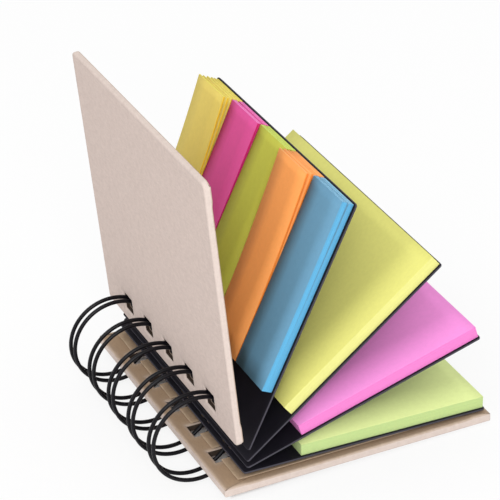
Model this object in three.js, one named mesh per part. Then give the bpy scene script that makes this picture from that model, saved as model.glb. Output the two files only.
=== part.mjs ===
// Wire-bound booklet of sticky notes, fanned open on a table.
//
// Two kraft-wrapped boards and four black cards hang on one black twin-loop wire.
// The first card carries five stacks of narrow flags, the other three carry a pad of notes each.
// Millimetres, +Z up. X runs from the spine to the fore edge, Y along the spine.
//
// Every sheet is drawn in its own frame, whose origin is the middle of the wire loops:
// u (X) runs from the spine to the fore edge, h (Z) is the height of a face above that middle,
// and a group turns the frame about Y by the sheet's opening angle.

import * as THREE from 'three';

// Widths along the spine. A card is a little wider than its notes, and a cover than its cards.
const NOTE_WIDTH = 76.2;
const CARD_BORDER = 0.7;
const COVER_BORDER = 1.2;
const CARD_WIDTH = NOTE_WIDTH + 2 * CARD_BORDER;
const COVER_WIDTH = CARD_WIDTH + 2 * COVER_BORDER;

// Covers
const COVER_LENGTH = 73.4;
const FRONT_CORNER = 1.4;
const BACK_BOARD = 2.6;
const FRONT_BOARD = 1.9;
const COVER_MARGIN = 3.1;
const BACK_HOLE_LENGTH = 5.7;
const FRONT_HOLE_LENGTH = 5.0;

// Lining sheets glued inside the covers
const LINING = 0.3;
const LINING_SPINE_INSET = 4.4;
const LINING_EDGE_INSET = 2.2;

// Black cards
const CARD = 0.5;
const CARD_LENGTH = 66.8;
const CARD_CORNER = 0.8;
const CARD_MARGIN = 1.2;
const CARD_HOLE_LENGTH = 4.4;

// Notes and flags
const NOTE_LENGTH = 50.8;
const NOTE_START = 15.7;
const PAD = 3.1;
const FLAG_COUNT = 5;
const FLAG_GAP = 0.35;
const FLAG_STACK = 2.8;

// Flags whose free ends spread in clumps
const CLUMP_SLIT = 0.16;
const CLUMP_STEPS = 6;
const CLUMP_STEP_BACK = 0.25;
const CLUMP_GROWTH = 1.3;
const LONGEST_FORK = 0.9;

// Twin-loop wire
const WIRE = 1.1;
const LOOP_RADIUS = 11.5;
const LOOP_COUNT = 5;
const PITCH = 12.7;
const PAIR_AT_BASE = 3.7;
const PAIR_AT_TIP = 1.8;
const BASE_BEND = 1.2;
const TIP_GAP = 0.2;
const TAIL = 1.0;
const LEG_STEPS = 28;
const BEND_STEPS = 3;
const WIRE_SIDES = 8;
const CORNER_STEPS = 4;

// Clearances
const CLEAR = 0.3;
const HOLE_PLAY = 0.25;
const HOLE_WIDTH = PAIR_AT_BASE + WIRE + 2 * HOLE_PLAY;

// Where each sheet's lower face lies below the middle of the loops
const BACK_DROP = 9.9;
const GREEN_DROP = 5.2;
const PINK_DROP = 6.2;
const YELLOW_DROP = 6.8;
const FLAG_DROP = 7.4;
const FRONT_DROP = 7.1;

// Opening angles from the back cover, in degrees, and how far a card has slid out on the wire
const PINK_ANGLE = 16.2;
const YELLOW_ANGLE = 37.6;
const FLAG_ANGLE = 63.8;
const FRONT_ANGLE = 94.9;
const GREEN_SLIDE = 1.3;
const PINK_SLIDE = 1.2;

const degrees = THREE.MathUtils.degToRad;
const wireRadius = WIRE / 2;
const liningTop = -BACK_DROP + BACK_BOARD + LINING;
const seamHeight = liningTop + CLEAR + wireRadius;

// Materials
function finish(color, roughness, metalness = 0) {
  return new THREE.MeshStandardMaterial({ color, roughness, metalness });
}

const kraft = finish(0xcdb8ab, 0.85);
const kraftLining = finish(0xb79f8b, 0.85);
const blackCard = finish(0x1d1b21, 0.75);
const blackWire = finish(0x141416, 0.35, 0.6);
const yellowPaper = finish(0xe9e67e, 0.8);
const pinkPaper = finish(0xf08bd0, 0.8);
const greenPaper = finish(0xd7ea9a, 0.8);
const flagColours = {
  yellow: finish(0xe3cc5c, 0.8),
  pink: finish(0xd94f96, 0.8),
  green: finish(0xafb548, 0.8),
  orange: finish(0xee9a50, 0.8),
  blue: finish(0x6ab0d0, 0.8),
};

// How far from the spine the loops cross a plane at height h
function loopCrossing(h) {
  return Math.sqrt(LOOP_RADIUS ** 2 - h ** 2);
}

// The slant of the wire makes its cut through a sheet this much longer on each side
function slantReach(h) {
  return (wireRadius * LOOP_RADIUS) / loopCrossing(h);
}

// Fore end of the punched holes in a sheet with the given upper face
function holeEnd(upperFace) {
  return loopCrossing(upperFace) + slantReach(upperFace) + CLEAR;
}

function loopMiddle(index) {
  return (index - (LOOP_COUNT - 1) / 2) * PITCH;
}

// Rectangle with square corners, as a closed outline
function squareOutline(u0, u1, y0, y1) {
  const shape = new THREE.Shape();
  shape.moveTo(u0, y0);
  shape.lineTo(u1, y0);
  shape.lineTo(u1, y1);
  shape.lineTo(u0, y1);
  return shape;
}

// The same with round corners
function roundedOutline(u0, u1, y0, y1, radius) {
  const shape = new THREE.Shape();
  shape.moveTo(u0 + radius, y0);
  shape.lineTo(u1 - radius, y0);
  shape.absarc(u1 - radius, y0 + radius, radius, -Math.PI / 2, 0);
  shape.lineTo(u1, y1 - radius);
  shape.absarc(u1 - radius, y1 - radius, radius, 0, Math.PI / 2);
  shape.lineTo(u0 + radius, y1);
  shape.absarc(u0 + radius, y1 - radius, radius, Math.PI / 2, Math.PI);
  shape.lineTo(u0, y0 + radius);
  shape.absarc(u0 + radius, y0 + radius, radius, Math.PI, 1.5 * Math.PI);
  return shape;
}

// Rectangular holes for the wire, one for each loop
function punch(shape, u0, u1) {
  for (let i = 0; i < LOOP_COUNT; i += 1) {
    const y = loopMiddle(i);
    const hole = new THREE.Path();
    hole.moveTo(u0, y - HOLE_WIDTH / 2);
    hole.lineTo(u0, y + HOLE_WIDTH / 2);
    hole.lineTo(u1, y + HOLE_WIDTH / 2);
    hole.lineTo(u1, y - HOLE_WIDTH / 2);
    shape.holes.push(hole);
  }
}

function slab(shape, thickness, lowerFace) {
  const geometry = new THREE.ExtrudeGeometry(shape, {
    depth: thickness,
    bevelEnabled: false,
    curveSegments: CORNER_STEPS,
  });
  return geometry.translate(0, 0, lowerFace);
}

function named(name, geometry, material) {
  const mesh = new THREE.Mesh(geometry, material);
  mesh.name = name;
  return mesh;
}

// Board and lining of one cover. The lining is on the side that faces the notes.
function cover(side, board, outline, lowerFace, holeLength, liningAbove) {
  const outerTop = lowerFace + board;
  const end = holeEnd(liningAbove ? outerTop + LINING : outerTop);
  const start = end - holeLength;
  const spine = start - COVER_MARGIN;
  const fore = spine + COVER_LENGTH;
  const half = COVER_WIDTH / 2;

  const boardShape = outline(spine, fore, -half, half);
  punch(boardShape, start, end);

  const inset = half - LINING_EDGE_INSET;
  const liningSpine = spine + LINING_SPINE_INSET;
  const liningShape = liningOutline(liningSpine, fore - LINING_EDGE_INSET, inset, end);
  const liningFace = liningAbove ? outerTop : lowerFace - LINING;

  return [
    named(`${side}_cover`, slab(boardShape, board, lowerFace), kraft),
    named(`${side}_cover_lining`, slab(liningShape, LINING, liningFace), kraftLining),
  ];
}

// The lining starts part way along the holes, so each hole is a notch in its spine edge
function liningOutline(u0, u1, half, notchEnd) {
  const shape = new THREE.Shape();
  shape.moveTo(u0, -half);
  shape.lineTo(u1, -half);
  shape.lineTo(u1, half);
  shape.lineTo(u0, half);
  for (let i = LOOP_COUNT - 1; i >= 0; i -= 1) {
    const y = loopMiddle(i);
    shape.lineTo(u0, y + HOLE_WIDTH / 2);
    shape.lineTo(notchEnd, y + HOLE_WIDTH / 2);
    shape.lineTo(notchEnd, y - HOLE_WIDTH / 2);
    shape.lineTo(u0, y - HOLE_WIDTH / 2);
  }
  return shape;
}

// Spine edge of a card whose lower face is at the given height
function cardEdge(lowerFace, slide) {
  return holeEnd(lowerFace + CARD) - CARD_HOLE_LENGTH - CARD_MARGIN + slide;
}

function card(name, lowerFace, slide) {
  const spine = cardEdge(lowerFace, slide);
  const half = CARD_WIDTH / 2;
  const shape = roundedOutline(spine, spine + CARD_LENGTH, -half, half, CARD_CORNER);
  const start = spine + CARD_MARGIN;
  punch(shape, start, start + CARD_HOLE_LENGTH);
  return named(name, slab(shape, CARD, lowerFace), blackCard);
}

// A pad of square-cut notes, glued to its card
function notePad(name, lowerFace, slide, material) {
  const start = cardEdge(lowerFace, slide) + NOTE_START;
  const geometry = new THREE.BoxGeometry(NOTE_LENGTH, NOTE_WIDTH, PAD);
  geometry.translate(start + NOTE_LENGTH / 2, 0, lowerFace + CARD + PAD / 2);
  return named(name, geometry, material);
}

// Side view of a stack whose free end spreads. The stack is cut into clumps of sheets that part
// from each other towards the free end: a clump's lift grows with the square of the distance
// from the glued end, and the topmost clump lifts most and ends a little short of the others.
function stackProfile(length, thickness, clumps, spread) {
  const clump = thickness / clumps;
  const lift = (k, u) => {
    const rank = k / Math.max(clumps - 1, 1);
    return spread * rank ** CLUMP_GROWTH * (u / length) ** 2;
  };
  const shape = new THREE.Shape();
  shape.moveTo(0, 0);
  shape.lineTo(length, 0);
  for (let k = 0; k < clumps - 1; k += 1) {
    const seam = (k + 1) * clump;
    shape.lineTo(length - CLUMP_STEP_BACK * k, seam + lift(k, length));
    // Where this clump and the next one are a slit apart
    const parting = lift(k + 1, length) - lift(k, length);
    const fork = length * Math.sqrt(Math.min(CLUMP_SLIT / parting, LONGEST_FORK));
    const place = (i) => fork + ((length - fork) * i) / CLUMP_STEPS;
    for (let i = CLUMP_STEPS - 1; i >= 1; i -= 1) {
      shape.lineTo(place(i), seam + lift(k, place(i)));
    }
    shape.lineTo(fork, seam + (lift(k, fork) + lift(k + 1, fork)) / 2);
    for (let i = 1; i < CLUMP_STEPS; i += 1) {
      shape.lineTo(place(i), seam + lift(k + 1, place(i)));
    }
    shape.lineTo(length - CLUMP_STEP_BACK * (k + 1), seam + lift(k + 1, length));
  }
  const top = clumps - 1;
  shape.lineTo(length - CLUMP_STEP_BACK * top, thickness + lift(top, length));
  for (let i = CLUMP_STEPS - 1; i >= 1; i -= 1) {
    const u = (length * i) / CLUMP_STEPS;
    shape.lineTo(u, thickness + lift(top, u));
  }
  shape.lineTo(0, thickness);
  return shape;
}

// Flags in their order along the spine, from the near edge to the far edge
const flags = [
  { colour: 'blue', clumps: 2, spread: 0.5 },
  { colour: 'orange', clumps: 5, spread: 2.4 },
  { colour: 'green', clumps: 1, spread: 0 },
  { colour: 'pink', clumps: 1, spread: 0 },
  { colour: 'yellow', clumps: 6, spread: 3.2 },
];

function flagStack(index, lowerFace) {
  const { colour, clumps, spread } = flags[index];
  const pitch = NOTE_WIDTH / FLAG_COUNT;
  const width = pitch - FLAG_GAP;
  const geometry = new THREE.ExtrudeGeometry(stackProfile(NOTE_LENGTH, FLAG_STACK, clumps, spread), {
    depth: width,
    bevelEnabled: false,
  });
  geometry.rotateX(Math.PI / 2);
  const far = -NOTE_WIDTH / 2 + index * pitch + FLAG_GAP / 2 + width;
  geometry.translate(cardEdge(lowerFace, 0) + NOTE_START, far, lowerFace + CARD);
  return named(`flag_stack_${colour}`, geometry, flagColours[colour]);
}

// The wire is drawn flat, as a path of (arc length, y), and then rolled onto the loops' cylinder.
// Arc length starts at the seam and runs down, under the spine, up, over and back to the seam.
function flatWire() {
  const path = [];
  const tip = PAIR_AT_TIP / 2;
  const turn = 2 * Math.PI * LOOP_RADIUS;
  const tipMiddle = turn - TIP_GAP - tip;
  const pairHalf = (arc) => {
    const share = (arc - BASE_BEND) / (tipMiddle - BASE_BEND);
    return (PAIR_AT_BASE + (PAIR_AT_TIP - PAIR_AT_BASE) * share) / 2;
  };
  const baseHalf = PAIR_AT_BASE / 2;
  for (let i = LOOP_COUNT - 1; i >= 0; i -= 1) {
    const y = loopMiddle(i);
    const bend = (side, angle) => [
      BASE_BEND * (1 - Math.cos(angle)),
      y + side * (baseHalf + BASE_BEND * (1 - Math.sin(angle))),
    ];
    if (i === LOOP_COUNT - 1) {
      path.push([0, y + baseHalf + BASE_BEND + TAIL]);
    }
    for (let j = 0; j < BEND_STEPS; j += 1) {
      path.push(bend(1, (j / BEND_STEPS) * (Math.PI / 2)));
    }
    for (let j = 0; j <= LEG_STEPS; j += 1) {
      const arc = BASE_BEND + ((tipMiddle - BASE_BEND) * j) / LEG_STEPS;
      path.push([arc, y + pairHalf(arc)]);
    }
    for (let j = 1; j < 2 * BEND_STEPS; j += 1) {
      const angle = (j / (2 * BEND_STEPS)) * Math.PI;
      path.push([tipMiddle + tip * Math.sin(angle), y + tip * Math.cos(angle)]);
    }
    for (let j = LEG_STEPS; j >= 0; j -= 1) {
      const arc = BASE_BEND + ((tipMiddle - BASE_BEND) * j) / LEG_STEPS;
      path.push([arc, y - pairHalf(arc)]);
    }
    for (let j = BEND_STEPS - 1; j >= 0; j -= 1) {
      path.push(bend(-1, (j / BEND_STEPS) * (Math.PI / 2)));
    }
    if (i === 0) {
      path.push([0, y - baseHalf - BASE_BEND - TAIL]);
    }
  }
  return path;
}

// The rolled path, from point to point, as one curve that an extrusion can follow
class RolledWire extends THREE.Curve {
  constructor(points) {
    super();
    this.points = points;
  }

  getPoint(t, target = new THREE.Vector3()) {
    const place = t * (this.points.length - 1);
    const index = Math.min(Math.floor(place), this.points.length - 2);
    return target.lerpVectors(this.points[index], this.points[index + 1], place - index);
  }

  // One step of the extrusion for each point of the path
  getPointAt(t, target) {
    return this.getPoint(t, target);
  }

  getTangentAt(t, target = new THREE.Vector3()) {
    const last = this.points.length - 1;
    const index = Math.round(t * last);
    const before = this.points[Math.max(index - 1, 0)];
    const after = this.points[Math.min(index + 1, last)];
    return target.subVectors(after, before).normalize();
  }
}

function bindingWire() {
  const seam = Math.asin(seamHeight / LOOP_RADIUS);
  const points = flatWire().map(([arc, y]) => {
    const angle = seam - arc / LOOP_RADIUS;
    return new THREE.Vector3(LOOP_RADIUS * Math.cos(angle), y, LOOP_RADIUS * Math.sin(angle));
  });
  // One corner of the section points away from the middle of the loops
  const outward = Math.PI + seam;
  const section = new THREE.Shape();
  for (let i = 0; i < WIRE_SIDES; i += 1) {
    const angle = outward + (i / WIRE_SIDES) * 2 * Math.PI;
    const corner = [wireRadius * Math.cos(angle), wireRadius * Math.sin(angle)];
    if (i === 0) {
      section.moveTo(...corner);
    } else {
      section.lineTo(...corner);
    }
  }
  const geometry = new THREE.ExtrudeGeometry(section, {
    extrudePath: new RolledWire(points),
    steps: points.length - 1,
    bevelEnabled: false,
  });
  return named('binding_wire', geometry, blackWire);
}

function turned(angle, meshes) {
  const group = new THREE.Group();
  group.rotation.y = -degrees(angle);
  group.add(...meshes);
  return group;
}

// The last card rests on the seam of the wire at the spine and on the lining at the fore edge
function greenAngle() {
  const drop = -GREEN_DROP - (liningTop + CLEAR);
  const reach = CARD_LENGTH + cardEdge(-GREEN_DROP, GREEN_SLIDE) - loopCrossing(seamHeight);
  return -THREE.MathUtils.radToDeg(Math.atan(drop / reach));
}

// The loops reach below the back cover, so the booklet stands on them and on its fore edge
function restingAngle() {
  const lowestLoop = LOOP_RADIUS + wireRadius;
  const spine = holeEnd(liningTop) - BACK_HOLE_LENGTH - COVER_MARGIN;
  const fore = spine + COVER_LENGTH;
  return Math.asin((lowestLoop - BACK_DROP) / fore);
}

// The wrap of the back board is folded sharp at the corners, and the front board's are worn round
const wornOutline = (...sides) => roundedOutline(...sides, FRONT_CORNER);

const booklet = new THREE.Group();
booklet.rotation.y = restingAngle();
booklet.add(
  ...cover('back', BACK_BOARD, squareOutline, -BACK_DROP, BACK_HOLE_LENGTH, true),
  bindingWire(),
  turned(greenAngle(), [
    card('green_note_card', -GREEN_DROP, GREEN_SLIDE),
    notePad('green_note_pad', -GREEN_DROP, GREEN_SLIDE, greenPaper),
  ]),
  turned(PINK_ANGLE, [
    card('pink_note_card', -PINK_DROP, PINK_SLIDE),
    notePad('pink_note_pad', -PINK_DROP, PINK_SLIDE, pinkPaper),
  ]),
  turned(YELLOW_ANGLE, [
    card('yellow_note_card', -YELLOW_DROP, 0),
    notePad('yellow_note_pad', -YELLOW_DROP, 0, yellowPaper),
  ]),
  turned(FLAG_ANGLE, [
    card('flag_card', -FLAG_DROP, 0),
    ...flags.map((flag, index) => flagStack(index, -FLAG_DROP)),
  ]),
  turned(
    FRONT_ANGLE,
    cover('front', FRONT_BOARD, wornOutline, -FRONT_DROP, FRONT_HOLE_LENGTH, false),
  ),
);

// Origin: the middle of the footprint, on the table
const model = new THREE.Group();
model.add(booklet);
model.updateMatrixWorld(true);
const box = new THREE.Box3().setFromObject(model, true);
booklet.position.set(-(box.min.x + box.max.x) / 2, -(box.min.y + box.max.y) / 2, -box.min.z);
model.updateMatrixWorld(true);

export default model;
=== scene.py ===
# %% [markdown]
# # A wire-bound booklet of sticky notes
#
# This lesson builds the looks of a small booklet that stands fanned open: two boards wrapped in
# kraft paper, four black cards, three pads of notes and five stacks of narrow flags, all threaded
# on one black twin-loop wire. Every sheet is drawn flat in its own coordinates first and is then
# turned about the middle of the wire loops, which is how the real booklet opens.

import bpy
import numpy as np
from mathutils import Matrix, Vector


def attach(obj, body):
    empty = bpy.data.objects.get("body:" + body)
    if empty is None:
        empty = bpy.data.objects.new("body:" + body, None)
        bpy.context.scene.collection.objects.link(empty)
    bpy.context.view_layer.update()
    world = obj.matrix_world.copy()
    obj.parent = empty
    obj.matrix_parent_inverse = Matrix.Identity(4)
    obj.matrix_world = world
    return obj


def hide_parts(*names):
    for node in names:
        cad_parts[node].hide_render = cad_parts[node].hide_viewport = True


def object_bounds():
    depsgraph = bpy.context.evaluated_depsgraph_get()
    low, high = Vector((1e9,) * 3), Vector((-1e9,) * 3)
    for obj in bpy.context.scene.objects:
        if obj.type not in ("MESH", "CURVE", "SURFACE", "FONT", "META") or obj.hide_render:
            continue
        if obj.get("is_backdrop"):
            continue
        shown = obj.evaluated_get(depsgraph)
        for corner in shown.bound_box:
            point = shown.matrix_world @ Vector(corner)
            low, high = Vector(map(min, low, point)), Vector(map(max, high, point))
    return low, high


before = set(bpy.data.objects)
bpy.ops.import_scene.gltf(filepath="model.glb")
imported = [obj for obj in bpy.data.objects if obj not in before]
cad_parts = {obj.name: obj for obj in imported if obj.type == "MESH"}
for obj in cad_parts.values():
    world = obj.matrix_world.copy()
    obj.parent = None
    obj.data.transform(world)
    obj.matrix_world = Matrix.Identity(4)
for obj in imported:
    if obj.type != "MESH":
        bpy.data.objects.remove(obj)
frame_bounds = [list(corner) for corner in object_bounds()]
rng = np.random.default_rng(7)
print("frame box (m):", frame_bounds)

# %% [markdown]
# ## The plan of the booklet
#
# All lengths are in millimetres. The loops of the wire lie on a cylinder, and a sheet's punched
# holes must clear the wire where the cylinder cuts the sheet. So the place of every spine edge
# follows from two things: the radius of the loops and the height at which the sheet crosses them.

# %% Sizes of the binding
RADIUS = 11.5  # of the loops, to the middle of the wire
WIRE = 0.55  # radius of the wire
CLEAR = 0.3  # between the wire and the fore end of a hole
PITCH = 12.7
HOLE = 5.3  # width of a hole, along the spine
LOOPS = (np.arange(5) - 2) * PITCH
CENTRE = np.array([-31.224, 0.0, 12.047])  # middle of the loops in the scene
TILT = np.radians(1.6489)  # slope of the back cover, which rests on the loops


def hole_end(height):
    """u of the holes' fore end: the middle of the wire at that height, its slanting half, a clearance."""
    crossing = np.sqrt(RADIUS**2 - height**2)
    return crossing + WIRE * RADIUS / crossing + CLEAR


print("a sheet 7 mm below the middle has its holes end at u =", round(hole_end(-7.0), 2))

# %% [markdown]
# ## From a flat sheet to its place in the fan
#
# A sheet's own coordinates are u (from the spine to the fore edge), y (along the spine) and h (how
# far a point lies above the middle of the loops). Turning the sheet by its opening angle, and the
# whole booklet by the small slope at which it rests on its loops, puts a point in the scene.

# %% Place points of a sheet


def place(angle, u, y, h):
    """x = u cos a - h sin a, z = u sin a + h cos a, then the same turn by the resting slope; metres."""
    a = np.radians(angle)
    x, z = u * np.cos(a) - h * np.sin(a), u * np.sin(a) + h * np.cos(a)
    x, z = x * np.cos(TILT) + z * np.sin(TILT), z * np.cos(TILT) - x * np.sin(TILT)
    return (np.stack([x, y + 0 * x, z], -1) + CENTRE) / 1000


print("fore edge of the back cover (m):", place(0, 74.7, 0, -9.9).round(4))

# %% [markdown]
# ## One helper that turns arrays into an object
#
# Blender takes long flat arrays much faster than it takes lists of tuples. Besides points and faces
# the helper stores facts that the finishes read later. On points they are the sheet's own
# coordinates, how near the rim is, how near a fold is and which sheet of a stack it is. On faces
# they say whether a face is a cut side, the wall of a hole, the end of a stack, or the side of a
# cover that lies against the notes.

# %% Make an object from arrays


def make(name, points, quads, smooth, finish, body, node, slot, **facts):
    """A mesh object with one finish that moves with its body and takes the place of one node."""
    mesh = bpy.data.meshes.new(name)
    mesh.vertices.add(len(points))
    mesh.vertices.foreach_set("co", points.ravel())
    mesh.loops.add(quads.size)
    mesh.loops.foreach_set("vertex_index", quads.ravel().astype(np.int32))
    mesh.polygons.add(len(quads))
    mesh.polygons.foreach_set("loop_start", np.arange(0, quads.size, 4, dtype=np.int32))
    mesh.polygons.foreach_set("use_smooth", smooth)
    for key, values in facts.items():
        domain = "POINT" if len(values) == len(points) else "FACE"
        kind, field = ("FLOAT_VECTOR", "vector") if values.ndim == 2 else ("FLOAT", "value")
        store = mesh.attributes.new(key, kind, domain)
        store.data.foreach_set(field, values.astype(np.float32).ravel())
    mesh.update()
    mesh.validate()
    mesh.materials.append(finish)
    obj = bpy.data.objects.new(name, mesh)
    bpy.context.scene.collection.objects.link(obj)
    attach(obj, body)
    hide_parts(node)
    print(f"{name}: {len(points)} points, {len(quads)} faces")


# %% [markdown]
# ## A punched sheet
#
# A board, a card or a lining is a flat sheet with round corners and a row of punched holes. Its
# surface is a grid over (u, y) whose lines also run along every hole edge, so that cells inside a
# hole can simply be left out. Extra lines crowd towards the edges, where paper wrapped round board
# makes a soft roll and where the punch drags the surface down a little.

# %% Grid lines that crowd at edges
CROWD = np.array([0.05, 0.14, 0.28, 0.5])  # distances of the extra lines from an edge
LINE_GAP = 0.55  # an even line nearer than this to an edge is left out


def grid_lines(breaks, step, fine=(0.0, 1.0)):
    """The breaks, the breaks moved by the crowd distances, even steps, and fine ones (reach, step)."""
    breaks = np.asarray(breaks, float)
    first, last = breaks[[0, -1]]
    near = (breaks[:, None] + np.concatenate([-CROWD, CROWD])).ravel()
    inward = np.arange(0.6, fine[0], fine[1])
    middle = np.arange(first + 1 + fine[0], last - 1 - fine[0], step)
    even = np.concatenate([middle, first + inward, last - inward])
    even = even[np.abs(even[:, None] - breaks).min(1) > LINE_GAP]
    lines = np.concatenate([breaks, near, even])
    return np.unique(lines[(lines >= first) & (lines <= last)].round(4))


print("lines across a hole:", grid_lines([0, HOLE], 0.8))

# %% [markdown]
# The breaks along u are the two edges and the ends of the holes, and along y the two edges and the
# sides of every hole. A hole may also run out through the spine edge, as it does in the linings:
# then only one of its ends is a break.

# %% Grid of a punched sheet


def sheet_grid(outline, holes, step, fine):
    """Grids U and Y, and which of their cells are paper: all but those inside a hole."""
    u0, u1, y0, y1 = outline
    ends = sorted(end for end in holes if end > u0 + 0.01)
    sides = sorted(np.concatenate([LOOPS - HOLE / 2, LOOPS + HOLE / 2]))
    lines_u = grid_lines([u0, *ends, u1], step, fine[0])
    lines_y = grid_lines([y0, *sides, y1], step, fine[1])
    middle_u = (lines_u[1:] + lines_u[:-1]) / 2
    middle_y = (lines_y[1:] + lines_y[:-1]) / 2
    in_u = (middle_u > holes[0]) & (middle_u < holes[1])
    in_y = np.abs(middle_y[:, None] - LOOPS).min(1) < HOLE / 2
    U, Y = np.meshgrid(lines_u, lines_y, indexing="ij")
    return U, Y, ~(in_u[:, None] & in_y)


PLAIN = ((0.0, 1.0), (0.0, 1.0))  # no fine lines at the ends of u and of y
sample = sheet_grid((0, 20, -40, 40), (2, 7), 2.0, PLAIN)[2]
print("a sample sheet keeps", sample.sum(), "of its", sample.size, "cells")

# %% [markdown]
# The rim distance drives both the rolled edges and the wear: it is the distance of a point to the
# nearest edge, whether that is the outline or a hole.

# %% Distance to the nearest edge


def rim_distance(U, Y, outline, holes=None):
    """min of the distances to the four sides and to each hole, all measured as for rectangles."""
    u0, u1, y0, y1 = outline
    away = np.minimum.reduce([U - u0, u1 - U, Y - y0, y1 - Y])
    if holes:
        du = np.maximum(holes[0] - U, U - holes[1])
        dy = np.abs(Y[..., None] - LOOPS).min(-1) - HOLE / 2
        away = np.minimum(away, np.maximum(du, dy))
    return np.clip(away, 0, None)


print("from (5, 3) to a 10 mm square's rim:", rim_distance(5.0, 3.0, (0, 10, 0, 10)), "mm")

# %% [markdown]
# The walls follow from the grid as well. A cell side gets a wall when the cell on one side of it is
# kept and the one on the other side isn't, and comparing the kept cells with themselves, moved by
# one, finds all such sides at once. That keeps the sheet closed and its faces outward.

# %% Faces of a punched grid
# For each way out of a cell: the step to its neighbour and the two corners of the side between them
WAYS = (
    ((-1, 0), (0, 0), (0, 1)),
    ((1, 0), (1, 1), (1, 0)),
    ((0, -1), (1, 0), (0, 0)),
    ((0, 1), (0, 1), (1, 1)),
)


def plate_faces(keep):
    """Top, bottom and wall quads over a grid of (n, m) cells, for top points first and bottom after."""
    n, m = keep.shape
    top = np.arange((n + 1) * (m + 1)).reshape(n + 1, m + 1)
    low = top + top.size
    corner = lambda grid, i, j, cells: grid[i : i + n, j : j + m][cells]
    around = [(0, 0), (1, 0), (1, 1), (0, 1)]
    upper = np.stack([corner(top, i, j, keep) for i, j in around], 1)
    lower = np.stack([corner(low, i, j, keep) for i, j in around[::-1]], 1)
    padded = np.pad(keep, 1)
    walls = []
    for (i, j), a, b in WAYS:
        bare = keep & ~padded[1 + i : 1 + i + n, 1 + j : 1 + j + m]
        ring = ((top, a), (top, b), (low, b), (low, a))
        walls.append(np.stack([corner(grid, *at, bare) for grid, at in ring], 1))
    walls = np.concatenate(walls)
    return np.concatenate([upper, lower, walls]), len(walls)


sample = np.ones((3, 3), bool)
sample[1, 1] = False
quads, walls = plate_faces(sample)
print("3 by 3 cells round one hole:", len(quads), "quads,", walls, "of them walls")

# %% [markdown]
# Two small formulas shape the outline. Round corners come from shrinking each row of the grid near
# the two ends, and a rim that is rolled over comes from a quarter circle, so neither needs a
# modifier and the hole edges stay where they are.

# %% Round the corners and roll the rim
ROLL_SHARE = 0.98  # of a quarter circle, so that the roll never stands quite upright


def round_corners(U, Y, outline, radius):
    """Each end of a row moves in by r - sqrt(r^2 - d^2), where the row lies r - d from its side."""
    u0, u1, y0, y1 = outline
    depth = np.clip(radius - np.minimum(Y - y0, y1 - Y), 0, radius)
    cut = radius - np.sqrt(radius**2 - depth**2)
    return u0 + cut + (U - u0) / (u1 - u0) * (u1 - u0 - 2 * cut)


def rolled(away, roll):
    """roll (1 - sqrt(1 - 0.98 (1 - away / roll)^2)), which is 0 from away = roll on."""
    return roll * (1 - np.sqrt(1 - (1 - np.clip(away / roll, 0, 1)) ** 2 * ROLL_SHARE))


print("a 0.4 mm roll drops by", rolled(np.array([0.0, 0.1, 0.2, 0.4]), 0.4).round(3).tolist(), "mm")

# %% [markdown]
# Now the sheet itself. The heights of the upper and lower face are functions of the place on the
# sheet, so a board can have the step of a folded flap on it, or be pressed in at its rim, without
# any extra pieces. Points inside the holes are dropped at the end, because no face uses them.

# %% Make a punched sheet
RIM_FADE = 0.5  # how fast the stored nearness of the rim fades
WALL_BAND = 0.6  # a wall farther than this from the outline belongs to a hole


def flat(U, Y, away):
    """No relief."""
    return 0 * U


def plate(name, leaf, outline, faces, holes, corner, roll, step, upper=flat, lower=flat,
          fine=PLAIN, inner=0, fold=flat, **tie):
    """h = face height -/+ the roll at distance d from a rim, plus the relief of that face."""
    U, Y, keep = sheet_grid(outline, holes, step, fine)
    away = rim_distance(U, Y, outline, holes)
    U = round_corners(U, Y, outline, corner)
    high = faces[1] - rolled(away, roll) + upper(U, Y, away)
    deep = faces[0] + rolled(away, roll) - lower(U, Y, away)
    sheet = np.concatenate([np.stack([U, Y, h], -1).reshape(-1, 3) for h in (high, deep)])
    quads, walls = plate_faces(keep)
    used, quads = np.unique(quads, return_inverse=True)
    quads = quads.reshape(-1, 4)
    sheet = sheet[used]
    middle = sheet[quads].mean(1)
    rank = np.arange(len(quads))
    one_face = (len(quads) - walls) // 2
    side = rank >= 2 * one_face
    hole = side & (rim_distance(middle[:, 0], middle[:, 1], outline) > WALL_BAND)
    inside = {1: rank < one_face, 0: rank < 0, -1: (rank >= one_face) & ~side}[inner]
    crease = np.tile(fold(U, Y, away).ravel(), 2)[used]
    rim = np.exp(-np.tile(away.ravel(), 2)[used] / RIM_FADE)
    make(name, place(leaf, *sheet.T), quads, ~side, sheet_mm=sheet, rim=rim, crease=crease,
         side=side, hole=hole, inside=inside, **tie)


print("a point 1 mm from the rim stores the nearness", round(np.exp(-1 / RIM_FADE), 3))

# %% [markdown]
# ## A stack of sheets
#
# A pad of notes is many thin sheets glued at one end. Cut with a guillotine they line up almost
# perfectly, and handling moves each of them by a few hundredths of a millimetre, which is what
# draws the fine lines on a pad's sides. Each sheet is a closed slip of its own here. A stack that
# has been thumbed opens in clumps at its free end, and each clump lifts with the square of the
# distance from the glued end, as a thin strip that is held at one end bends.

# %% Make a stack of sheets
FILL = 0.93  # how much of its share of the height a sheet fills


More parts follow.
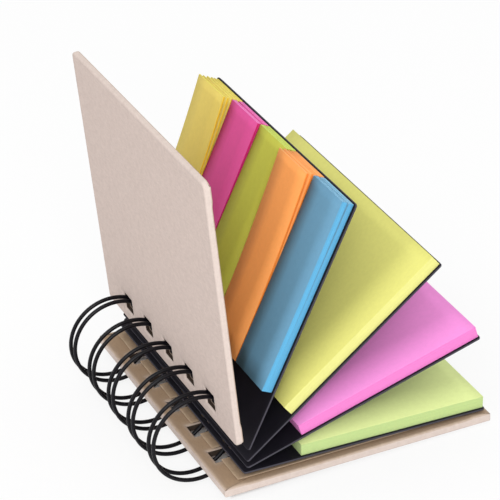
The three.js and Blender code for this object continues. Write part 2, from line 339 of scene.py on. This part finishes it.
def stack(name, leaf, start, size, base, thick, count, jitter, steps, clumps=1, spread=0.0, **tie):
    """Sheet k spans start + size, moved by its jitter; h = base + k thick + spread (clump rank)^1.3 s^2."""
    S, T = np.meshgrid(np.linspace(0, 1, steps[0]) ** 0.8, np.linspace(0, 1, steps[1]), indexing="ij")
    k = np.arange(count)[:, None, None]
    shift = rng.uniform(-1, 0, (2, count, 1, 1)) * jitter
    U = start[0] + S * size[0] + shift[0] * S**0.5
    Y = start[1] + T * size[1] + (shift[1] + jitter / 2) * (0.3 + 0.7 * S)
    rank = (k * clumps // count) / max(clumps - 1, 1)
    bottom = base + k * thick + spread * rank**1.3 * S**2
    grids = [np.stack(np.broadcast_arrays(U, Y, h), -1) for h in (bottom + thick * FILL, bottom)]
    sheet = np.stack(grids, 1).reshape(-1, 3)
    quads, walls = plate_faces(np.ones((steps[0] - 1, steps[1] - 1), bool))
    every = (quads[None] + (np.arange(count) * 2 * S.size)[:, None, None]).reshape(-1, 4)
    # The walls come in the order: glued end, free end, near side, far side
    order = np.arange(len(quads)) - (len(quads) - walls)
    side = np.tile(order >= 0, count)
    end = np.tile((order >= 0) & (order < 2 * (steps[1] - 1)), count)
    ply = np.repeat(rng.uniform(0, 1, count), 2 * S.size)
    make(name, place(leaf, *sheet.T), every, ~side, sheet_mm=sheet, ply=ply, side=side, end=end, **tie)


print("a strip lifts by", (np.linspace(0, 1, 5) ** 2).round(2).tolist(), "of its spread along its length")

# %% [markdown]
# ## Finishes from small parts
#
# Node groups are like functions: kraft paper, card, note paper and enamel each get one, with named
# inputs, and the materials only fill in colours and amounts. The first helper adds one node and
# links or sets its inputs, and the others are the few nodes that every finish here is made from.

# %% Helpers for node trees


def add(tree, kind, inputs=(), **settings):
    """A node with its settings made, and each input linked to a socket or set to a value."""
    node = tree.nodes.new(kind)
    for key, value in settings.items():
        setattr(node, key, value)
    for key, value in dict(inputs).items():
        socket = node.inputs[key]
        if isinstance(value, bpy.types.NodeSocket):
            tree.links.new(value, socket)
        else:
            socket.default_value = value
    return node


def blend(tree, factor, a, b, way="MIX"):
    """a where factor is 0, and b, or a changed by b, where it is 1."""
    node = add(tree, "ShaderNodeMix", {0: factor, 6: a, 7: b}, data_type="RGBA", blend_type=way)
    return node.outputs[2]


def times(tree, a, b):
    """The colour a, each channel multiplied by b."""
    return blend(tree, 1.0, a, b, "MULTIPLY")


def calc(tree, way, a, b=0.0):
    """One sum of two values."""
    return add(tree, "ShaderNodeMath", {0: a, 1: b}, operation=way).outputs[0]


def colour(red, green, blue):
    """A screen colour of 0 to 255, as linear light."""
    c = np.array([red, green, blue]) / 255
    linear = np.where(c <= 0.04045, c / 12.92, ((c + 0.055) / 1.055) ** 2.4)
    return (*linear.tolist(), 1.0)


print("a middle grey on screen is linear light of", round(colour(128, 128, 128)[0], 3))

# %% [markdown]
# Paper gets its life from noise that is pushed into a narrow range, so those two steps have helpers
# too. Scales are per millimetre, because the position that they read is in the sheet's own
# millimetres. Every group gives the same three things: a colour, a roughness and a height.

# %% Helpers for finishes


def noise(tree, position, scale, detail, roughness=0.5):
    """Layered noise around 0.5."""
    inputs = {"Vector": position, "Scale": scale, "Detail": detail, "Roughness": roughness}
    return add(tree, "ShaderNodeTexNoise", inputs).outputs["Fac"]


def stretched(tree, position, scale):
    """A position scaled by a different amount along u, y and h."""
    return add(tree, "ShaderNodeMapping", {"Vector": position, "Scale": scale}).outputs[0]


def ramp(tree, value, low, high, to_low=0.0, to_high=1.0):
    """to_low up to low, to_high from high on, and a straight line between."""
    inputs = {"Value": value, "From Min": low, "From Max": high, "To Min": to_low, "To Max": to_high}
    return add(tree, "ShaderNodeMapRange", inputs).outputs[0]


def group(name, **kinds):
    """An empty node group with its named inputs, and what it is given and has to give."""
    tree = bpy.data.node_groups.new(name, "ShaderNodeTree")
    for key, kind in kinds.items():
        socket = tree.interface.new_socket(key, in_out="INPUT", socket_type=f"NodeSocket{kind}")
        if kind == "Color":
            socket.default_value = (1, 1, 1, 1)
    for key, kind in (("Color", "Color"), ("Roughness", "Float"), ("Height", "Float")):
        tree.interface.new_socket(key, in_out="OUTPUT", socket_type=f"NodeSocket{kind}")
    return tree, tree.nodes.new("NodeGroupInput").outputs, tree.nodes.new("NodeGroupOutput").inputs


def give(tree, result, **values):
    """Link the group's results."""
    for key, value in values.items():
        tree.links.new(value, result[key])
    print(tree.name, "group has", len(tree.nodes), "nodes")


# %% [markdown]
# Kraft paper is brown pulp with long fibres that lie mostly along the roll, faint clouds where the
# pulp was thicker, and a few dark specks of bark. Where it is folded over an edge the surface is
# rubbed paler, and a faint pressed line runs about a millimetre inside the fold. The side that lies
# against the notes is painted darker and browner than the outside: painted shade. A dark brown line
# along the step of the folded flaps on that side is painted shade too. The walls of the punched
# holes are dark brown.

# %% Kraft paper group
kraft, given, result = group(
    "kraft_paper", Position="Vector", Base="Color", Cloud="Color", Worn="Color", Core="Color",
    Fresh="Color", Rim="Float", Crease="Float", Hole="Float", Inside="Float",
)
SPECK = colour(110, 84, 66)
PRESSED_AT = 0.2  # nearness of the rim at which the pressed line runs
clouds = noise(kraft, given["Position"], 0.55, 8.0, 0.75)
fibres = noise(kraft, stretched(kraft, given["Position"], (2.6, 0.9, 2.6)), 1.0, 6.0, 0.75)
bark = add(kraft, "ShaderNodeTexVoronoi", {"Vector": given["Position"], "Scale": 0.5}).outputs["Distance"]
outer = blend(kraft, ramp(kraft, clouds, 0.3, 0.7), given["Base"], given["Cloud"])
# Painted shade: the faces that lie against the notes take a darker, browner colour.
inside_shaded = blend(kraft, given["Inside"], outer, given["Fresh"])
grained = times(kraft, inside_shaded, ramp(kraft, fibres, 0.3, 0.7, 0.86, 1.08))
specked = blend(kraft, ramp(kraft, bark, 0.04, 0.08, 0.3, 0.0), grained, SPECK)
off_line = calc(kraft, "ABSOLUTE", calc(kraft, "SUBTRACT", given["Rim"], PRESSED_AT))
lined = times(kraft, specked, ramp(kraft, off_line, 0.0, 0.12, 0.92, 1.0))
worn = blend(kraft, calc(kraft, "MULTIPLY", given["Rim"], clouds), lined, given["Worn"])
# Painted shade: a dark brown line along the step of the folded flaps, on the side against the notes.
painted_step_shade = calc(kraft, "MULTIPLY", given["Crease"], given["Inside"])
wrapped = blend(kraft, painted_step_shade, worn, given["Core"])
give(kraft, result, Color=blend(kraft, given["Hole"], wrapped, given["Core"]),
     Roughness=ramp(kraft, fibres, 0.0, 1.0, 0.78, 0.95), Height=calc(kraft, "ADD", fibres, clouds))

# %% [markdown]
# Black card is dyed through, so its faces are a soft blue-black with a slight tooth. The guillotine
# crushes and opens the fibres along a cut, and a cut edge looks grey.

# %% Black card group
card, given, result = group(
    "dyed_card", Position="Vector", Base="Color", Core="Color", Side="Float", Rim="Float",
)
tooth = noise(card, given["Position"], 3.5, 6.0, 0.65)
patches = noise(card, given["Position"], 0.12, 3.0)
face = times(card, given["Base"], ramp(card, patches, 0.3, 0.7, 0.8, 1.3))
scuffed = calc(card, "MULTIPLY", calc(card, "POWER", given["Rim"], 4.0), tooth)
bare = calc(card, "MAXIMUM", scuffed, given["Side"])
give(card, result, Color=blend(card, bare, face, given["Core"]),
     Roughness=ramp(card, tooth, 0.0, 1.0, 0.6, 0.85), Height=tooth)

# %% [markdown]
# Note paper is a smooth, matt paper, coloured in the pulp. No two sheets of a pad have quite the
# same tone, and its cut sides look a little different from its faces because light enters them
# along the fibres. The free ends, which face the light, are painted paler still: a painted
# highlight. A cloudy formation shows faintly in the face.

# %% Note paper group
paper, given, result = group(
    "note_paper", Position="Vector", Face="Color", Cut="Color", Free="Color", Ply="Float",
    Side="Float", End="Float", Variation="Float",
)
formation = noise(paper, given["Position"], 0.9, 6.0, 0.6)
pulp = noise(paper, given["Position"], 9.0, 4.0)
lines = noise(paper, stretched(paper, given["Position"], (0.25, 0.25, 9.0)), 1.0, 3.0)
low = calc(paper, "SUBTRACT", 1.0, given["Variation"])
# Painted highlight: the ends of the sheets take the paler end colour.
wall = blend(paper, given["End"], given["Cut"], given["Free"])
by_sheet = times(paper, wall, ramp(paper, given["Ply"], 0.0, 1.0, low, 1.0))
cut = times(paper, by_sheet, ramp(paper, lines, 0.3, 0.7, low, 1.0))
face = times(paper, given["Face"], ramp(paper, formation, 0.3, 0.7, 0.965, 1.02))
give(paper, result, Color=blend(paper, given["Side"], face, cut),
     Roughness=ramp(paper, pulp, 0.0, 1.0, 0.7, 0.9), Height=pulp)

# %% [markdown]
# The wire is steel with a thin black enamel. Enamel on drawn wire is glossy but never quite even:
# the machine that closes the loops leaves rubbed spots where the colour is thinner.

# %% Enamel group
enamel, given, result = group("black_enamel", Position="Vector", Base="Color", Rubbed="Color")
rubs = noise(enamel, given["Position"], 0.45, 5.0, 0.7)
peel = noise(enamel, given["Position"], 2.5, 2.0)
spots = ramp(enamel, rubs, 0.55, 0.75)
give(enamel, result, Color=blend(enamel, spots, given["Base"], given["Rubbed"]),
     Roughness=ramp(enamel, rubs, 0.0, 1.0, 0.25, 0.45), Height=peel)

# %% [markdown]
# Each material is then one group and one shader. The group reads its place on the sheet and the
# other facts from the stored attributes, so the pattern stays with the sheet when the booklet opens
# or closes.

# %% Materials from groups
FACTS = ("rim", "crease", "side", "ply", "hole", "end", "inside")
BUMP_DEPTH = 0.02 / 1000


def material(name, tree, bump, specular=0.3, **amounts):
    """A shader fed by one group, which gets the stored facts that it has inputs for."""
    finish = bpy.data.materials.new(name)
    finish.use_nodes = True
    nodes = finish.node_tree
    shader = nodes.nodes["Principled BSDF"]
    shader.inputs["Specular IOR Level"].default_value = specular
    where = add(nodes, "ShaderNodeAttribute", attribute_name="sheet_mm")
    amounts["Position"] = where.outputs["Vector"]
    part = add(nodes, "ShaderNodeGroup", amounts, node_tree=tree)
    for key in FACTS:
        if key.capitalize() in part.inputs:
            fact = add(nodes, "ShaderNodeAttribute", attribute_name=key)
            nodes.links.new(fact.outputs["Fac"], part.inputs[key.capitalize()])
    inputs = {"Height": part.outputs["Height"], "Strength": bump, "Distance": BUMP_DEPTH}
    relief = add(nodes, "ShaderNodeBump", inputs)
    nodes.links.new(part.outputs["Color"], shader.inputs["Base Color"])
    nodes.links.new(part.outputs["Roughness"], shader.inputs["Roughness"])
    nodes.links.new(relief.outputs[0], shader.inputs["Normal"])
    return finish


# Dark brown for the walls of the holes and for the painted shade along the flaps' step.
DARK_BROWN = colour(60, 48, 40)
# On the boards, the darker, browner colour of the faces against the notes is painted shade.
KRAFT_OUT = material("kraft_board", kraft, 0.4, Base=colour(188, 171, 163), Cloud=colour(198, 182, 174),
                     Worn=colour(212, 198, 189), Core=DARK_BROWN, Fresh=colour(158, 132, 106))
# The lining is the same kraft in darker, browner colours: painted shade inside the booklet.
KRAFT_LINING_SHADED = material("kraft_lining", kraft, 0.4, Base=colour(150, 125, 100), Cloud=colour(161, 136, 110),
                    Worn=colour(190, 168, 144), Core=DARK_BROWN)
BLACK_CARD = material("black_card", card, 0.35, 0.15, Base=colour(22, 20, 28), Core=colour(66, 64, 72))
BLACK_WIRE = material("black_wire", enamel, 0.15, 0.2, Base=colour(8, 7, 13), Rubbed=colour(18, 17, 26))
print(len(bpy.data.materials), "materials")

# %% [markdown]
# The papers differ only in colour. Each has three: that of a sheet's face, of its long cut side and
# of its free end, which is a paler painted highlight. The last number says how uneven the cut sides are.

# %% Note papers
PAPER_COLOURS = {
    "note_yellow": ((222, 219, 122), (224, 222, 138), (236, 234, 142), 0.05),
    "note_pink": ((241, 145, 216), (230, 126, 196), (246, 150, 218), 0.05),
    "note_green": ((220, 233, 156), (182, 204, 136), (204, 226, 156), 0.05),
    "flag_yellow": ((224, 202, 104), (252, 210, 24), (246, 240, 110), 0.14),
    "flag_pink": ((218, 82, 151), (212, 30, 112), (248, 150, 214), 0.08),
    "flag_green": ((190, 192, 74), (176, 186, 58), (208, 232, 120), 0.05),
    "flag_orange": ((251, 165, 90), (254, 136, 44), (255, 190, 125), 0.16),
    "flag_blue": ((102, 151, 181), (92, 173, 216), (158, 212, 240), 0.08),
}
PAPERS = {
    key: material(key, paper, 0.12, Face=colour(*front), Cut=colour(*long_side), Free=colour(*lit_end_colour),
                  Variation=uneven)
    for key, (front, long_side, lit_end_colour, uneven) in PAPER_COLOURS.items()
}
print("papers:", ", ".join(PAPERS))

# %% [markdown]
# ## The covers
#
# A cover is a stiff board with kraft paper glued round it. The wrap is folded over all four edges,
# and on the inside the folded flaps end under the lining. At each corner one flap lies on the next,
# so a thin step runs in from the corner. A punched hole drags the paper down at its rim.

# %% Relief of the wrap
FLAP = 0.2  # how high a folded flap stands above the board's inner face
MITRE_SLOPE = 0.32  # how far the step runs in from a side, per millimetre along that side
MITRE_REACH = 6.6  # how far the step runs along a side


def at_mitre(U, Y, outline):
    """along: distance to the nearer end; past: 0.32 along - distance to the nearer side, 0 on the step."""
    u0, u1, y0, y1 = outline
    along = np.minimum(U - u0, u1 - U)
    return along, along * MITRE_SLOPE - np.minimum(Y - y0, y1 - Y)


def flap_step(U, Y, outline):
    """The flap's height where past > 0, blurred over 0.12 mm, fading in the last 1.5 mm of the reach."""
    along, past = at_mitre(U, Y, outline)
    return FLAP * np.clip(past / 0.12 + 0.5, 0, 1) * np.clip((MITRE_REACH - along) / 1.5, 0, 1)


# The mask of the line of painted shade drawn along the flaps' step.
def fold_line(U, Y, outline):
    """1 on the step, as far as it reaches, and exp(-(past / 0.1)^2) beside it."""
    along, past = at_mitre(U, Y, outline)
    return np.exp(-((past / 0.1) ** 2)) * (along < MITRE_REACH)


def pressed(away):
    """The paper sinks by 0.08 mm at a cut, and by exp(-(away / 0.35)^2) of that beside it."""
    return -0.08 * np.exp(-((away / 0.35) ** 2))


print("beside a cut the paper lies", pressed(np.array([0.0, 0.3, 0.6])).round(3).tolist(), "mm high")

# %% [markdown]
# The two covers are the same board in two thicknesses, one with its lining on top and one with it
# below. Their holes clear the wire at the face that is nearer to the middle of the loops, because
# the loops are wider there. The spine edge lies a margin behind the holes, and the grid is fine
# where the step runs.

# %% Cover boards
COVER_LENGTH, COVER_HALF = 73.4, 40.0
COVER_MARGIN = 3.1  # between the spine edge and the holes
LINING = 0.3
FRONT_ANGLE = 94.9  # how far the front cover is open


def cover(side, leaf, body, lower, thick, hole_long, corner, lining_above):
    """The board's outline, its holes and the height at which the lining starts."""
    top = lower + thick
    end = hole_end(top + (LINING if lining_above else 0.0))
    spine = end - hole_long - COVER_MARGIN
    outline = (spine, spine + COVER_LENGTH, -COVER_HALF, COVER_HALF)
    holes = (end - hole_long, end)
    wrapped_in = lambda U, Y, away: flap_step(U, Y, outline) - FLAP + pressed(away)
    outside = lambda U, Y, away: pressed(away)
    upper, under = (wrapped_in, outside) if lining_above else (outside, wrapped_in)
    plate(f"{side}_board", leaf, outline, (lower, top), holes, corner, roll=0.4, step=1.2,
          upper=upper, lower=under, fine=((8.0, 0.3), (3.2, 0.1)), inner=1 if lining_above else -1,
          fold=lambda U, Y, away: fold_line(U, Y, outline),
          finish=KRAFT_OUT, body=body, node=f"{side}_cover", slot="kraft_board")
    return outline, holes, top if lining_above else lower - LINING


# Height of the lower face, thickness, length of the holes, corner radius
back = cover("back", 0.0, "root", -9.9, 2.6, 5.7, 0.3, lining_above=True)
front = cover("front", FRONT_ANGLE, "front_board", -7.1, 1.9, 5.0, 1.9, lining_above=False)

# %% [markdown]
# The lining is one sheet of the same paper, pasted over the flaps a little short of the edges. It
# was punched together with the board, and its spine edge runs across the holes, so each hole cuts a
# notch out of that edge.

# %% Linings
LINING_SPINE_INSET = 4.4
LINING_INSET = 2.2


def lining(side, leaf, body, outline, holes, face):
    """The plate of a cover's lining, with its spine edge part way along the holes."""
    half = COVER_HALF - LINING_INSET
    outline = (outline[0] + LINING_SPINE_INSET, outline[1] - LINING_INSET, -half, half)
    sunk = lambda U, Y, away: -0.05 * np.exp(-away / 0.4)
    plate(f"{side}_lining", leaf, outline, (face, face + LINING), holes, corner=0.3, roll=0.08,
          step=1.5, upper=sunk, finish=KRAFT_LINING_SHADED, body=body, node=f"{side}_cover_lining",
          slot="kraft_lining")


lining("back", 0.0, "root", *back)
lining("front", FRONT_ANGLE, "front_board", *front)

# %% [markdown]
# ## The cards
#
# Four black cards carry the notes and flags. They are cut square, so their edges are sharp, and
# their punched holes sit close to the spine edge. The two lowest have slid a little away from the
# wire.

# %% Black cards
# Opening angle, height of the card's lower face, how far it has slid, and the body it moves with
LEAVES = {
    "green": (-1.33884, -5.2, 1.3, "green_leaf"),
    "pink": (16.2, -6.2, 1.2, "pink_leaf"),
    "yellow": (37.6, -6.8, 0.0, "yellow_leaf"),
    "flag": (63.8, -7.4, 0.0, "flag_leaf"),
}
CARD = 0.5
CARD_LENGTH, CARD_HALF = 66.8, 38.8
CARD_MARGIN, CARD_HOLE = 1.2, 4.4
NOTE_START = 15.7  # from a card's spine edge to its notes
STARTS = {}
for key, (leaf, lower, slide, body) in LEAVES.items():
    spine = hole_end(lower + CARD) - CARD_HOLE - CARD_MARGIN + slide
    STARTS[key] = spine + NOTE_START
    plate(f"{key}_card", leaf, (spine, spine + CARD_LENGTH, -CARD_HALF, CARD_HALF), (lower, lower + CARD),
          (spine + CARD_MARGIN, spine + CARD_MARGIN + CARD_HOLE), corner=0.8, roll=0.05, step=2.0,
          finish=BLACK_CARD, body=body, node="flag_card" if key == "flag" else f"{key}_note_card",
          slot="black_card")
print("notes start at u =", {key: round(float(u), 2) for key, u in STARTS.items()})

# %% [markdown]
# ## The pads of notes
#
# Each pad is 28 sheets that lie tight on each other. The glue is at the spine end, and only the
# small shifts of the sheets show.

# %% Pads
NOTE_LENGTH, NOTE_WIDTH = 50.8, 76.2
PAD, PAD_SHEETS = 3.08, 28
for key in ("green", "pink", "yellow"):
    leaf, lower, _, body = LEAVES[key]
    stack(f"{key}_pad", leaf, (STARTS[key], -NOTE_WIDTH / 2), (NOTE_LENGTH, NOTE_WIDTH), lower + CARD,
          PAD / PAD_SHEETS, PAD_SHEETS, jitter=0.07, steps=(12, 8), finish=PAPERS[f"note_{key}"],
          body=body, node=f"{key}_note_pad", slot=f"note_{key}")

# %% [markdown]
# ## The flags
#
# Flags are narrow sheets, five stacks side by side, which share the width of a note. The orange and
# the yellow stack have been thumbed most and open in many clumps, the blue and the pink one part
# only once, and the green one is untouched.

# %% Flag stacks
# Clumps and how far the last one lifts
FLAGS = {"blue": (2, 0.5), "orange": (5, 2.4), "green": (1, 0.0), "pink": (2, 0.7), "yellow": (6, 3.2)}
FLAG_STACK, FLAG_SHEETS = 2.8, 26
FLAG_GAP = 0.35
flag_pitch = NOTE_WIDTH / len(FLAGS)
leaf, lower, _, body = LEAVES["flag"]
for index, (key, (clumps, spread)) in enumerate(FLAGS.items()):
    near_side = -NOTE_WIDTH / 2 + index * flag_pitch + FLAG_GAP / 2
    stack(f"{key}_flags", leaf, (STARTS["flag"], near_side), (NOTE_LENGTH, flag_pitch - FLAG_GAP),
          lower + CARD, FLAG_STACK / FLAG_SHEETS, FLAG_SHEETS, jitter=0.16, steps=(18, 4),
          clumps=clumps, spread=spread, finish=PAPERS[f"flag_{key}"], body=body,
          node=f"flag_stack_{key}", slot=f"flag_{key}")

# %% [markdown]
# ## The twin-loop wire
#
# The wire is bent flat into a comb, as hairpins that stand side by side, and the comb is then rolled
# until the tips reach the base. So the path is easiest to write flat, as (distance along the loop,
# y), and rolling it is one cosine and one sine.

# %% Path of the wire
BASE_HALF, TIP_HALF = 3.7 / 2, 1.8 / 2  # half the gap between a hairpin's legs, at its base and its tip
BEND = 1.2  # radius of the bend from the base into a leg
TIP_GAP = 0.2  # between a tip and the base that it reaches
TAIL = 1.0
tip_at = 2 * np.pi * RADIUS - TIP_GAP - TIP_HALF
leg = np.linspace(BEND, tip_at, 140)
half = BASE_HALF + (TIP_HALF - BASE_HALF) * (leg - BEND) / (tip_at - BEND)
turn = np.linspace(0, np.pi, 26)[1:-1]
quarter = np.linspace(0, np.pi / 2, 12)[:-1]
rise, aside = BEND * (1 - np.cos(quarter)), BASE_HALF + BEND * (1 - np.sin(quarter))
hairpin = np.concatenate([
    np.stack([rise, aside], 1),
    np.stack([leg, half], 1),
    np.stack([tip_at + TIP_HALF * np.sin(turn), TIP_HALF * np.cos(turn)], 1),
    np.stack([leg, -half], 1)[::-1],
    np.stack([rise, -aside], 1)[::-1],
])
tail = LOOPS[-1] + BASE_HALF + BEND + TAIL
comb = np.concatenate([[[0, tail]], *(hairpin + [0, y] for y in LOOPS[::-1]), [[0, -tail]]])
length = np.linalg.norm(np.diff(comb, axis=0), axis=1).sum()
print("path of the wire:", len(comb), "points,", round(length), "mm")

# %% [markdown]
# A tube is a ring of points carried along the path. The ring needs a steady frame, and the loops'
# cylinder gives one: away from its axis, and square to both that and the wire. Rings that shrink at
# the two ends round off the cut wire. The tube is drawn a hair thinner than the wire, so that its
# bends stay within the solid's faces.

# %% Sweep the wire
SEAM = np.arcsin(-6.15 / RADIUS)  # where base and tips meet, 6.15 mm below the middle of the loops
ROOM = 0.025
END_PUSH = 0.6 * np.array([1.0, 0.85, 0.45])  # how far the end rings stand out, in radii
END_SIZE = np.array([0.02, 0.55, 0.9])  # and how large they are


def rolled_tube(path, radius, sides):
    """Point (i, j) = path_i + radius (out_i cos b_j + across_i sin b_j), with out radial on the cylinder."""
    angle = SEAM - path[:, 0] / RADIUS
    spine = np.stack([RADIUS * np.cos(angle), path[:, 1], RADIUS * np.sin(angle)], 1)
    ahead = np.gradient(spine, axis=0)
    ahead /= np.linalg.norm(ahead, axis=1, keepdims=True)
    out = np.stack([np.cos(angle), 0 * angle, np.sin(angle)], 1)
    across = np.cross(ahead, out)
    across /= np.linalg.norm(across, axis=1, keepdims=True)
    order = np.concatenate([[0, 0, 0], np.arange(len(path)), [-1, -1, -1]])
    push = np.concatenate([-END_PUSH, np.zeros(len(path)), END_PUSH[::-1]]) * radius
    size = np.concatenate([END_SIZE, np.ones(len(path)), END_SIZE[::-1]]) * radius
    b = np.arange(sides) / sides * 2 * np.pi
    ring = out[order][:, None] * np.cos(b)[:, None] + across[order][:, None] * np.sin(b)[:, None]
    tube = (spine[order] + ahead[order] * push[:, None])[:, None] + size[:, None, None] * ring
    grid = np.arange(len(order) * sides).reshape(-1, sides)
    beside = np.roll(grid, -1, axis=1)
    quads = np.stack([grid[:-1], beside[:-1], beside[1:], grid[1:]], -1).reshape(-1, 4)
    # Each end ring is closed by quads that all share its first point
    j = np.arange(1, sides - 1, 2)
    fan = np.stack([0 * j, j, j + 1, j + 2], 1)
    return tube.reshape(-1, 3), np.concatenate([quads, grid[0][fan[:, ::-1]], grid[-1][fan]])


tube, quads = rolled_tube(comb, WIRE - ROOM, 12)
make("twin_loop_wire", place(0.0, *tube.T), quads, np.ones(len(quads), bool), BLACK_WIRE, "root",
     "binding_wire", "black_wire", sheet_mm=tube)

# %% [markdown]
# ## The set
#
# The photograph is a catalogue picture: white all round, hardly a shadow, and enough light from the
# front to keep the notes inside the fan bright. White surroundings give most of it. For the camera
# the table is mostly plain white, with a trace of its real shading left. Under the back cover it
# keeps all of its shading, so the punched holes look dark.

# %% Table
WHITE = (0.98, 0.98, 0.98, 1)
PLAIN_WHITE = 0.85  # share of plain white that the camera sees on the open table
UNDER_MIDDLE = (0.0078, 0.0, 0.0)  # of the patch under the back cover, metres
UNDER_HALF = (0.0343, 0.0365, 0.0)
SOFT_RIM = 0.0015

bpy.ops.mesh.primitive_plane_add(size=6, location=(0, 0, -0.0002))
table = bpy.context.object
table.name = "table"
table_finish = bpy.data.materials.new("table")
table_finish.use_nodes = True
tree = table_finish.node_tree
shader = tree.nodes["Principled BSDF"]
shader.inputs["Base Color"].default_value = (0.9, 0.9, 0.9, 1)
shader.inputs["Roughness"].default_value = 0.9
spot = add(tree, "ShaderNodeTexCoord").outputs["Object"]
for way, amount in (("SUBTRACT", UNDER_MIDDLE), ("ABSOLUTE", (0, 0, 0)), ("SUBTRACT", UNDER_HALF)):
    spot = add(tree, "ShaderNodeVectorMath", {0: spot, 1: amount}, operation=way).outputs[0]
beyond = add(tree, "ShaderNodeSeparateXYZ", {0: spot}).outputs
outside_patch = calc(tree, "MAXIMUM", beyond[0], beyond[1])
open_table = ramp(tree, outside_patch, 0.0, SOFT_RIM, 0.0, PLAIN_WHITE)
camera_ray = add(tree, "ShaderNodeLightPath").outputs["Is Camera Ray"]
whitened = calc(tree, "MULTIPLY", camera_ray, open_table)
white = add(tree, "ShaderNodeEmission", {"Color": WHITE}).outputs[0]
shown = add(tree, "ShaderNodeMixShader", {0: whitened, 1: shader.outputs[0], 2: white})
tree.links.new(shown.outputs[0], tree.nodes["Material Output"].inputs["Surface"])
table.data.materials.append(table_finish)
table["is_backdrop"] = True
print("table finish has", len(tree.nodes), "nodes")

# %% [markdown]
# The same white surrounds the booklet on all sides. It is the world's background, so it lights the
# sheets evenly and is also what the camera sees past the table.

# %% Surroundings
world = bpy.data.worlds.new("studio")
bpy.context.scene.world = world
world.use_nodes = True
world.node_tree.nodes["Background"].inputs["Color"].default_value = WHITE
print("surroundings are white at", WHITE[0])

# %% [markdown]
# Two soft lamps shape the sheets: a stronger one from beside the camera and a weaker, larger one
# from the upper left. A lamp is described by where it stands and what it looks at, and its turn
# follows from the two: an area lamp shines along its own -Z.

# %% Lamps


def soft_lamp(name, stand, energy, size):
    """An area lamp at stand (m) that looks at the middle of the booklet."""
    data = bpy.data.lights.new(name, "AREA")
    data.energy, data.size = energy, size
    lamp = bpy.data.objects.new(name, data)
    away = np.array(stand) - [0.0, 0.0, 0.03]
    turned = Vector(away.tolist()).to_track_quat("Z", "Y")
    lamp.matrix_world = Matrix.Translation(stand) @ turned.to_matrix().to_4x4()
    bpy.context.scene.collection.objects.link(lamp)
    lamp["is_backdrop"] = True


soft_lamp("beside_camera", (-0.25, -0.64, 0.46), 2.7, 0.3)
soft_lamp("upper_left", (-0.6, -0.3, 0.8), 1.0, 0.8)

# %% [markdown]
# The camera's direction, turn and focal length were fitted to the corners of the sheets in the
# photograph. Its axes come from three angles: the azimuth and the elevation give the direction that
# it looks in, and the last angle turns the picture about that direction.

# %% Camera
STAND = np.array([-220.6219, -501.1902, 363.4373]) / 1000
FOCAL = 2542.6 / 500  # in widths of the picture
SENSOR = 36
azimuth, elevation, roll_angle = np.radians([23.5213, 30.35, -3.3948])
level = np.array([np.cos(azimuth), -np.sin(azimuth), 0.0])
ahead = np.array([np.sin(azimuth), np.cos(azimuth), 0.0])
look = ahead * np.cos(elevation) - [0.0, 0.0, np.sin(elevation)]
upright = np.cross(level, look)
right = level * np.cos(roll_angle) + upright * np.sin(roll_angle)
up = -level * np.sin(roll_angle) + upright * np.cos(roll_angle)
axes = np.eye(4)
axes[:3] = np.stack([right, up, -look, STAND], 1)
lens = bpy.data.cameras.new("camera")
lens.lens, lens.sensor_width, lens.shift_y = FOCAL * SENSOR, SENSOR, -0.002
camera = bpy.data.objects.new("camera", lens)
camera.matrix_world = Matrix(axes.tolist())
bpy.context.scene.collection.objects.link(camera)
bpy.context.scene.camera = camera
bpy.context.scene.view_settings.view_transform = "Standard"
camera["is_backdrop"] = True
print("camera looks along", look.round(3).tolist(), "with a lens of", round(lens.lens), "mm")

# %% [markdown]
# Last, the size of the dressed booklet is printed next to the size of the solids' frame, as the
# part is meant to be placed by its solids alone. Nothing that was added may reach beyond the
# solids' box.

# %% Size and finish
final_bounds = [list(corner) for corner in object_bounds()]
print("frame", np.round(frame_bounds, 5).tolist(), "visual", np.round(final_bounds, 5).tolist())
